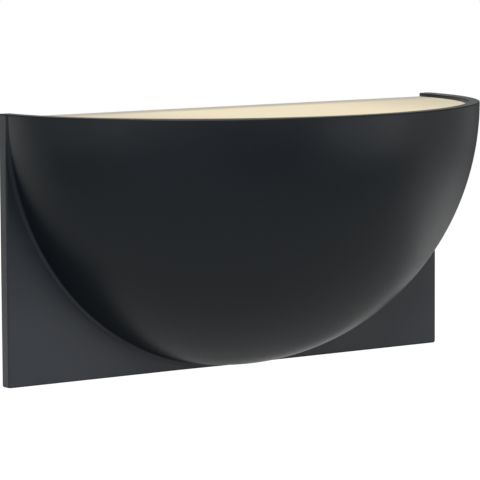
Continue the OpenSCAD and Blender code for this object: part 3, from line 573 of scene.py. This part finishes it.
def axes(tree, vector):
    """The three parts of a vector socket, by the names X, Y and Z."""
    made = tree.nodes.new("ShaderNodeSeparateXYZ")
    feed(tree, vector, made.inputs["Vector"])
    return made.outputs


def remap(tree, value, low, high, to_low, to_high, ease="LINEAR"):
    """Map Range node: low to high becomes to_low to to_high, straight or eased."""
    made = tree.nodes.new("ShaderNodeMapRange")
    made.interpolation_type = ease
    for label, number in (("Value", value), ("From Min", low), ("From Max", high), ("To Min", to_low),
                          ("To Max", to_high)):
        feed(tree, number, made.inputs[label])
    return made.outputs["Result"]


def vary(tree, mask, low, high):
    """A noise mask stretched to the values from low to high."""
    return remap(tree, mask, NOISE_LOW, NOISE_HIGH, low, high)


def blend_colours(tree, share, first, second):
    """Mix node on colours; the colours are sockets or red-green-blue numbers."""
    made = tree.nodes.new("ShaderNodeMix")
    made.data_type = "RGBA"
    sockets = {socket.identifier: socket for socket in made.inputs}
    for label, value in (("Factor_Float", share), ("A_Color", first), ("B_Color", second)):
        feed(tree, value, sockets[label])
    return next(socket for socket in made.outputs if socket.identifier == "Result_Color")


# --- shared effects -----------------------------------------------------------------------------------------

def build_coat_grain():
    """Powder coat or moulding grain: fine rounded bumps over a slower swell, as a height, and a fine mask."""
    group, start, end = node_group("coat_grain", [("Vector", "vector", None), ("Grain", "value", 900.0),
                                                   ("Swell", "value", 120.0), ("Swell share", "value", 0.4)],
                                   ("Height", "Mask"))
    crest, softness = 0.62, 0.2
    fine = noise(group, start["Vector"], start["Grain"], rough=0.55)
    slow = noise(group, start["Vector"], start["Swell"], detail=1.0)
    rounded = maths(group, "SMOOTH_MIN", fine, crest, softness)
    swell = maths(group, "MULTIPLY", slow, start["Swell share"])
    feed(group, maths(group, "ADD", rounded, swell), end["Height"])
    feed(group, fine, end["Mask"])
    return group


def build_handling():
    """Use and dust: broad soft clouds as a mask from 0 to 1, and as a colour from clean to dusty."""
    group, start, end = node_group("handling", [("Vector", "vector", None), ("Clean", "colour", (1, 1, 1, 1)),
                                                 ("Dusty", "colour", (1, 1, 1, 1)), ("Amount", "value", 0.5),
                                                 ("Scale", "value", 14.0)],
                                   ("Color", "Clouds"))
    clear, full = 0.35, 0.68
    broad = noise(group, start["Vector"], start["Scale"], detail=4.0, rough=0.55)
    clouds = remap(group, broad, clear, full, 0.0, 1.0)
    share = maths(group, "MULTIPLY", clouds, start["Amount"])
    feed(group, blend_colours(group, share, start["Clean"], start["Dusty"]), end["Color"])
    feed(group, clouds, end["Clouds"])
    return group


def build_plate_painted_sheen():
    """Painted reflection of light from below on the shade's flat plate: full at its face and behind it, none
    on the bowl, fading upwards.
    """
    plate_face, bowl, foot, rim = 0.0072, 0.0088, -0.085, 0.085
    group, start, end = node_group("plate_painted_sheen", [("Vector", "vector", None)], ("Mask",))
    place = axes(group, start["Vector"])
    from_wall = maths(group, "MULTIPLY", place["Y"], -1.0)
    flat = remap(group, from_wall, plate_face, bowl, 1.0, 0.0, "SMOOTHSTEP")
    low = remap(group, place["Z"], foot, rim, 1.0, 0.0, "SMOOTHSTEP")
    feed(group, maths(group, "MULTIPLY", flat, low), end["Mask"])
    return group


def build_opal_glow():
    """Light coming up through the opal: full over the open bowl, none on the back ledge, less at the ends."""
    ledge, room, middle, ends, end_share = 0.009, 0.030, 0.035, 0.150, 0.45
    group, start, end = node_group("opal_glow", [("Vector", "vector", None)], ("Mask",))
    place = axes(group, start["Vector"])
    from_wall = maths(group, "MULTIPLY", place["Y"], -1.0)
    depth = remap(group, from_wall, ledge, room, 0.0, 1.0, "SMOOTHSTEP")
    along = remap(group, maths(group, "ABSOLUTE", place["X"]), middle, ends, 1.0, end_share, "SMOOTHSTEP")
    feed(group, maths(group, "MULTIPLY", depth, along), end["Mask"])
    return group


def build_rolled_lines():
    """Rolled or brushed metal: long thin streaks along X, and the spangle of the zinc, as two masks."""
    group, start, end = node_group("rolled_lines", [("Vector", "vector", None), ("Across", "value", 1400.0),
                                                     ("Along", "value", 30.0), ("Spangle", "value", 160.0)],
                                   ("Lines", "Spangle"))
    place = axes(group, start["Vector"])
    stretch = group.nodes.new("ShaderNodeCombineXYZ")
    for axis, scale in (("X", "Along"), ("Y", "Across"), ("Z", "Across")):
        feed(group, maths(group, "MULTIPLY", place[axis], start[scale]), stretch.inputs[axis])
    feed(group, noise(group, stretch.outputs["Vector"], 1.0, detail=3.0, rough=0.6), end["Lines"])
    cells = group.nodes.new("ShaderNodeTexVoronoi")
    feed(group, start["Vector"], cells.inputs["Vector"])
    feed(group, start["Spangle"], cells.inputs["Scale"])
    split = group.nodes.new("ShaderNodeSeparateColor")
    feed(group, cells.outputs["Color"], split.inputs["Color"])
    feed(group, split.outputs["Red"], end["Spangle"])
    return group


def build_turned_rings():
    """Turned metal: fine bands across Y, the axis of most such pieces, over stains, as height and mask."""
    band_share, stain_scale = 0.3, 1500.0
    group, start, end = node_group("turned_rings", [("Vector", "vector", None), ("Rings", "value", 2400.0)],
                                   ("Height", "Mask"))
    bands = maths(group, "SINE", maths(group, "MULTIPLY", axes(group, start["Vector"])["Y"], start["Rings"]))
    stains = noise(group, start["Vector"], stain_scale)
    feed(group, maths(group, "MULTIPLY_ADD", bands, band_share, stains), end["Height"])
    feed(group, stains, end["Mask"])
    return group


GROUPS = {
    "grain": build_coat_grain(),
    "handling": build_handling(),
    # Painted reflection on the shade's flat plate, lighter low down
    "plate": build_plate_painted_sheen(),
    "glow": build_opal_glow(),
    "lines": build_rolled_lines(),
    "rings": build_turned_rings(),
}


# --- materials: a colour is red, green and blue, and a depth is in metres -----------------------------------

def start_material(name):
    """New node material: its tree, its Principled shader and the Object coordinates."""
    made = bpy.data.materials.new(name)
    made.use_nodes = True
    tree = made.node_tree
    place = tree.nodes.new("ShaderNodeTexCoord").outputs["Object"]
    return made, tree, tree.nodes["Principled BSDF"], place


def place_group(tree, kind, place, **values):
    """Outputs of one of the shared groups in a material, fed with the coordinates and its own values."""
    made = tree.nodes.new("ShaderNodeGroup")
    made.node_tree = GROUPS[kind]
    feed(tree, place, made.inputs["Vector"])
    for label, value in values.items():
        feed(tree, value, made.inputs[label])
    return made.outputs


def add_bump(tree, shader, height, strength, depth):
    """Bump node from a height to the shader's normal."""
    bump = tree.nodes.new("ShaderNodeBump")
    for label, value in (("Strength", strength), ("Distance", depth), ("Height", height)):
        feed(tree, value, bump.inputs[label])
    feed(tree, bump.outputs["Normal"], shader.inputs["Normal"])


def add_grain(tree, shader, place, grain, swell, rough, strength, depth, raised=None):
    """Grain in the bump, plus a raised mask where one is given, and in a roughness between two values.
    Returns the grain's mask."""
    skin = place_group(tree, "grain", place, Grain=grain, Swell=swell)
    feed(tree, vary(tree, skin["Mask"], *rough), shader.inputs["Roughness"])
    height = maths(tree, "ADD", skin["Height"], raised) if raised else skin["Height"]
    add_bump(tree, shader, height, strength, depth)
    return skin["Mask"]


def coated(name, colour, dusty, rough, grain=900.0, swell=120.0, depth=0.00006, amount=0.35, plate=None):
    """Painted, powder-coated or moulded surface: colour clouds, a grain bump and a roughness that follows
    both. A plate colour is for the shade and is painted light: its flat plate is painted lighter than the
    bowl, most of all low down, as a painted reflection of light from below."""
    worn_spread, grain_spread = 0.035, 0.03
    made, tree, shader, place = start_material(name)
    use = place_group(tree, "handling", place, Clean=colour, Dusty=dusty, Amount=amount)
    skin = place_group(tree, "grain", place, Grain=grain, Swell=swell)
    paint = use["Color"]
    # The plate colour is painted light: a painted reflection that makes the flat plate lighter low down
    if plate:
        paint = blend_colours(tree, place_group(tree, "plate", place)["Mask"], paint, plate)
    feed(tree, paint, shader.inputs["Base Color"])
    worn = remap(tree, use["Clouds"], 0.0, 1.0, rough - worn_spread, rough + worn_spread)
    fine = vary(tree, skin["Mask"], -grain_spread, grain_spread)
    feed(tree, maths(tree, "ADD", worn, fine), shader.inputs["Roughness"])
    add_bump(tree, shader, skin["Height"], strength=0.35, depth=depth)
    return made


def insulation(name, colour, dusty):
    """Soft plastic skin of a lead."""
    return coated(name, colour, dusty, rough=0.42, grain=1500.0, swell=300.0)


def metal(name, colour, stain, rough, across=1400.0, spangle=0.0):
    """Sheet or drawn metal: rolled lines in the bump and the roughness, zinc spangle in the colour."""
    line_share, smoother, rougher = 0.6, 0.06, 0.08
    made, tree, shader, place = start_material(name)
    rolled = place_group(tree, "lines", place, Across=across)
    lines = maths(tree, "MULTIPLY", rolled["Lines"], line_share)
    mixed = maths(tree, "MULTIPLY_ADD", rolled["Spangle"], spangle, lines)
    feed(tree, blend_colours(tree, mixed, colour, stain), shader.inputs["Base Color"])
    feed(tree, vary(tree, rolled["Lines"], rough - smoother, rough + rougher), shader.inputs["Roughness"])
    shader.inputs["Metallic"].default_value = 1.0
    add_bump(tree, shader, rolled["Lines"], strength=0.4, depth=0.00002)
    return made


def turned(name, colour, stain, rough):
    """Turned or rolled screws and pins: fine bands and small stains."""
    smoother, rougher = 0.06, 0.1
    made, tree, shader, place = start_material(name)
    skin = place_group(tree, "rings", place)
    feed(tree, blend_colours(tree, skin["Mask"], colour, stain), shader.inputs["Base Color"])
    feed(tree, vary(tree, skin["Mask"], rough - smoother, rough + rougher), shader.inputs["Roughness"])
    shader.inputs["Metallic"].default_value = 1.0
    add_bump(tree, shader, skin["Height"], strength=0.3, depth=0.00002)
    return made


def opal_acrylic():
    """Warm opal sheet with a satin grain: light passes a little way in, and a soft glow comes through."""
    dark, lamplight = (0.0, 0.0, 0.0), (1.0, 0.80, 0.49)
    made, tree, shader, place = start_material("opal_acrylic")
    use = place_group(tree, "handling", place, Clean=(0.62, 0.565, 0.44), Dusty=(0.58, 0.52, 0.39),
                      Amount=0.4, Scale=9.0)
    feed(tree, use["Color"], shader.inputs["Base Color"])
    glow = place_group(tree, "glow", place)["Mask"]
    feed(tree, blend_colours(tree, glow, dark, lamplight), shader.inputs["Emission Color"])
    shader.inputs["Emission Strength"].default_value = 0.34
    shader.inputs["Specular IOR Level"].default_value = 0.2
    shader.inputs["Subsurface Weight"].default_value = 0.25
    shader.inputs["Subsurface Radius"].default_value = (0.004, 0.003, 0.002)
    shader.inputs["Subsurface Scale"].default_value = 1.0
    add_grain(tree, shader, place, grain=1600.0, swell=60.0, rough=(0.68, 0.78), strength=0.25, depth=0.00003)
    return made


def circuit_board(name, mask, track, pitch):
    """Circuit board: solder mask over tracks, which show as slightly raised lanes on a brick pattern."""
    made, tree, shader, place = start_material(name)
    bricks = tree.nodes.new("ShaderNodeTexBrick")
    for label, value in (("Vector", place), ("Scale", 1.0 / pitch), ("Mortar Size", 0.05),
                         ("Mortar Smooth", 0.3), ("Brick Width", 1.6), ("Row Height", 0.45)):
        feed(tree, value, bricks.inputs[label])
    lane = bricks.outputs["Fac"]
    feed(tree, blend_colours(tree, lane, mask, track), shader.inputs["Base Color"])
    add_grain(tree, shader, place, grain=1200.0, swell=200.0, rough=(0.28, 0.40), strength=0.3, depth=0.00004,
              raised=lane)
    return made


def phosphor():
    """LED packages: yellow phosphor, a little uneven, under a thin clear coat."""
    made, tree, shader, place = start_material("led_phosphor")
    uneven = add_grain(tree, shader, place, grain=2600.0, swell=500.0, rough=(0.20, 0.34), strength=0.3,
                       depth=0.00003)
    yellow = blend_colours(tree, uneven, (0.86, 0.62, 0.11), (0.92, 0.74, 0.24))
    feed(tree, yellow, shader.inputs["Base Color"])
    shader.inputs["Coat Weight"].default_value = 0.3
    return made


def striped_lead(name, ground, stripe):
    """Earth lead: a stripe winds round the insulation, where the sine of a slope in X, Y and Z is above 0."""
    slope, slope_y, soft = 420.0, 900.0, 0.1
    made, tree, shader, place = start_material(name)
    at = axes(tree, place)
    run = maths(tree, "ADD", maths(tree, "MULTIPLY", at["X"], slope), maths(tree, "MULTIPLY", at["Z"], slope))
    wound = maths(tree, "SINE", maths(tree, "MULTIPLY_ADD", at["Y"], slope_y, run))
    lane = remap(tree, wound, -soft, soft, 0.0, 1.0)
    feed(tree, blend_colours(tree, lane, ground, stripe), shader.inputs["Base Color"])
    add_grain(tree, shader, place, grain=1800.0, swell=300.0, rough=(0.38, 0.52), strength=0.3, depth=0.00003)
    return made


# Charcoal coat; its plate colour is a painted reflection, lighter and bluer, laid on the flat plate low down
shade_coat = coated("charcoal_coat", (0.0078, 0.0130, 0.0188), (0.0098, 0.0150, 0.0208), rough=0.36,
                    grain=950.0, swell=140.0, depth=0.00005, amount=0.5, plate=(0.0500, 0.0570, 0.0710))
nylon = coated("natural_nylon", (0.70, 0.65, 0.53), (0.62, 0.56, 0.43), rough=0.48, grain=1100.0, swell=180.0,
               depth=0.00005)
white_moulding = coated("white_moulding", (0.74, 0.74, 0.71), (0.68, 0.67, 0.62), rough=0.3, grain=1300.0,
                        swell=200.0, depth=0.00004)
black_rubber = coated("black_rubber", (0.014, 0.014, 0.014), (0.035, 0.034, 0.032), rough=0.72, grain=1000.0,
                      swell=160.0, depth=0.0001)
zinc_screw = turned("zinc_screw", (0.58, 0.59, 0.61), (0.42, 0.43, 0.44), rough=0.28)

FINISHES = {
    "diffuser_seal": coated("soft_foam", (0.022, 0.022, 0.023), (0.035, 0.035, 0.035), rough=0.85,
                            grain=500.0, swell=90.0, depth=0.0002),
    "wall_bracket": metal("zinc_sheet", (0.56, 0.57, 0.59), (0.40, 0.41, 0.43), rough=0.34, spangle=0.5),
    "led_tray": coated("white_enamel", (0.78, 0.78, 0.76), (0.70, 0.70, 0.67), rough=0.38, grain=800.0,
                       swell=100.0, depth=0.00004),
    "driver_base": metal("rolled_aluminium", (0.62, 0.63, 0.65), (0.48, 0.49, 0.51), rough=0.36),
    "led_board": circuit_board("white_solder_mask", (0.82, 0.82, 0.80), (0.72, 0.73, 0.72), pitch=0.011),
    "driver_board": circuit_board("green_solder_mask", (0.02, 0.12, 0.045), (0.04, 0.20, 0.07), pitch=0.008),
    "led_chips": phosphor(),
    "thermal_pad": coated("silicone_pad", (0.30, 0.30, 0.37), (0.36, 0.36, 0.42), rough=0.8, swell=200.0,
                          depth=0.0001),
    "driver_transformer": coated("ferrite", (0.035, 0.030, 0.027), (0.07, 0.055, 0.04), rough=0.55,
                                 grain=1500.0, swell=300.0, depth=0.0001),
    "driver_capacitors": coated("shrink_sleeve", (0.015, 0.045, 0.10), (0.03, 0.07, 0.14), rough=0.25,
                                grain=700.0, swell=150.0),
    "terminal_inserts": turned("brass", (0.72, 0.50, 0.20), (0.55, 0.36, 0.13), rough=0.3),
    "terminal_screws": turned("plated_brass", (0.70, 0.56, 0.30), (0.52, 0.40, 0.20), rough=0.3),
    "earth_ring": metal("tinned_copper", (0.66, 0.60, 0.50), (0.50, 0.42, 0.32), rough=0.3, across=900.0),
    "hanging_studs": turned("turned_steel", (0.46, 0.47, 0.49), (0.32, 0.33, 0.34), rough=0.3),
    "live_lead": insulation("brown_insulation", (0.12, 0.045, 0.02), (0.16, 0.07, 0.035)),
    "neutral_lead": insulation("blue_insulation", (0.015, 0.09, 0.33), (0.03, 0.12, 0.38)),
    "earth_lead": striped_lead("striped_insulation", (0.05, 0.24, 0.02), (0.72, 0.62, 0.04)),
    "led_lead_positive": insulation("red_insulation", (0.42, 0.02, 0.015), (0.48, 0.05, 0.03)),
    "led_lead_negative": insulation("black_insulation", (0.012, 0.012, 0.013), (0.03, 0.03, 0.03)),
}
SHARED_FINISHES = (
    (nylon, ("terminal_block", "lead_clips")),
    (white_moulding, ("board_connector", "driver_cover")),
    (black_rubber, ("cable_grommet", "tray_bush")),
    (zinc_screw, ("lock_screw", "lock_washer", "tray_screws", "board_screws", "driver_screws",
                  "terminal_fixings", "earth_screw", "earth_washer")),
)
for finish, names in SHARED_FINISHES:
    FINISHES.update({name: finish for name in names})

for name, finish in FINISHES.items():
    for holder in nodes[name].material_slots:
        holder.material = finish


# --- pieces -------------------------------------------------------------------------------------------------

shade = cast_shade()
shade.data.materials.clear()
shade.data.materials.append(shade_coat)
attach(shade, "shade")
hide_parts("housing")

diffuser = opal_plate()
diffuser.data.materials.clear()
diffuser.data.materials.append(opal_acrylic())
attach(diffuser, "diffuser")
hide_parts("diffuser")


# --- room, in metres, watts and degrees ---------------------------------------------------------------------

FLOOR_REACH = 7.0
FLOOR_Z = -1.0
WHITE_FROM, WHITE_AT = 1.1, 2.2
NEAR_GLOW = 0.75
ROOM_LEVEL = 0.1
LAMP_AIM = Vector((0, -0.06, 0))
LAMP_DISTANCE = 2.2
LENS = 239.97
SENSOR_W = 36.0
CAMERA_AT = (-1.16167, -1.63123, 0.20704)
CAMERA_AZIMUTH, CAMERA_ELEVATION, CAMERA_ROLL = -125.7246, 6.0212, -0.3127

# Name, azimuth and elevation seen from the light, width, height, watts
LAMPS = (
    ("top", 0, 90, 1.8, 1.8, 14.5),
    ("front_upper", -125, 45, 1.6, 1.2, 25.0),
    ("back_upper", 60, 40, 1.6, 1.2, 10.5),
    ("front_low", -57, -3, 1.5, 0.7, 3.1),
    ("right_front", -30, 0, 1.4, 0.8, 1.5),
    ("left_front", -150, 0, 1.8, 0.8, 1.8),
    ("left", 180, 0, 1.8, 0.8, 2.2),
    ("left_back", 128, -4, 1.0, 0.6, 2.2),
    ("left_back_low", 130, -18, 1.4, 0.6, 0.8),
    ("back_low_right", 35, -18, 1.4, 0.6, 1.1),
    ("back_low", 60, -18, 1.4, 0.6, 0.65),
    ("right_low", 0, -20, 1.4, 0.6, 1.6),
    ("right", 8, -3, 1.4, 0.6, 0.7),
    ("front", -95, 3, 1.4, 0.8, 1.0),
)


def pale_floor():
    """Plain pale floor well below the light: it glows white to the camera further out and a little less
    near the light, so that the light's shadow shows, and from underneath it can't be seen."""
    corners = [(x * FLOOR_REACH, y * FLOOR_REACH, FLOOR_Z) for x, y in ((-1, -1), (1, -1), (1, 1), (-1, 1))]
    mesh = bpy.data.meshes.new("floor")
    mesh.from_pydata(corners, [], [(0, 1, 2, 3)])
    made = bpy.data.objects.new("floor", mesh)
    bpy.context.scene.collection.objects.link(made)
    finish, tree, shader, place = start_material("floor_paint")
    shader.inputs["Base Color"].default_value = (0.56, 0.56, 0.555, 1)
    shader.inputs["Roughness"].default_value = 0.9
    shader.inputs["Specular IOR Level"].default_value = 0.0
    seen = tree.nodes.new("ShaderNodeLightPath").outputs["Is Camera Ray"]
    far = tree.nodes.new("ShaderNodeVectorMath")
    far.operation = "LENGTH"
    feed(tree, place, far.inputs[0])
    white = remap(tree, far.outputs["Value"], WHITE_FROM, WHITE_AT, NEAR_GLOW, 1.0)
    glow = tree.nodes.new("ShaderNodeEmission")
    feed(tree, maths(tree, "MULTIPLY", seen, white), glow.inputs["Strength"])
    both = tree.nodes.new("ShaderNodeAddShader")
    feed(tree, shader.outputs["BSDF"], both.inputs[0])
    feed(tree, glow.outputs["Emission"], both.inputs[1])
    below = tree.nodes.new("ShaderNodeNewGeometry").outputs["Backfacing"]
    clear = tree.nodes.new("ShaderNodeBsdfTransparent").outputs["BSDF"]
    under = tree.nodes.new("ShaderNodeMixShader")
    feed(tree, maths(tree, "MULTIPLY", seen, below), under.inputs[0])
    feed(tree, both.outputs["Shader"], under.inputs[1])
    feed(tree, clear, under.inputs[2])
    feed(tree, under.outputs["Shader"], tree.nodes["Material Output"].inputs["Surface"])
    mesh.materials.append(finish)


def white_room(level):
    """World: white to the camera and through clear pieces, and otherwise a plain dim light of that level.
    Reflections get the dim light too, because the satin coat would turn pale under a white room."""
    world = bpy.data.worlds.new("room")
    bpy.context.scene.world = world
    world.use_nodes = True
    tree = world.node_tree
    ground = tree.nodes["Background"]
    ray = tree.nodes.new("ShaderNodeLightPath").outputs
    seen = maths(tree, "MAXIMUM", ray["Is Camera Ray"], ray["Is Transmission Ray"])
    feed(tree, remap(tree, seen, 0.0, 1.0, level, 1.0), ground.inputs["Strength"])
    ground.inputs["Color"].default_value = (1, 1, 1, 1)


def soft_lamp(name, azimuth, elevation, width, height, watts):
    """Rectangular soft lamp in a given direction from the light, facing it."""
    round_z, up = math.radians(azimuth), math.radians(elevation)
    towards = Vector((math.cos(up) * math.cos(round_z), math.cos(up) * math.sin(round_z), math.sin(up)))
    lamp = bpy.data.lights.new(name, "AREA")
    lamp.shape, lamp.size, lamp.size_y, lamp.energy = "RECTANGLE", width, height, watts
    made = bpy.data.objects.new(name, lamp)
    bpy.context.scene.collection.objects.link(made)
    made.location = LAMP_AIM + LAMP_DISTANCE * towards
    made.rotation_mode = "QUATERNION"
    made.rotation_quaternion = (-towards).to_track_quat("-Z", "Y")
    made.visible_camera = False


def photo_camera():
    """Camera where the photograph's was, as its outlines give it, turned by azimuth, elevation and roll."""
    lens = bpy.data.cameras.new("camera")
    lens.sensor_width, lens.lens = SENSOR_W, LENS
    lens.clip_start, lens.clip_end = 0.05, 50.0
    made = bpy.data.objects.new("camera", lens)
    bpy.context.scene.collection.objects.link(made)
    swing = Matrix.Rotation(QUARTER + math.radians(CAMERA_AZIMUTH), 4, "Z")
    tilt = Matrix.Rotation(QUARTER - math.radians(CAMERA_ELEVATION), 4, "X")
    roll = Matrix.Rotation(math.radians(CAMERA_ROLL), 4, "Z")
    made.matrix_world = Matrix.Translation(CAMERA_AT) @ swing @ tilt @ roll
    bpy.context.scene.camera = made


pale_floor()
white_room(ROOM_LEVEL)
for lamp in LAMPS:
    soft_lamp(*lamp)
photo_camera()
bpy.context.scene.view_settings.view_transform = "Standard"
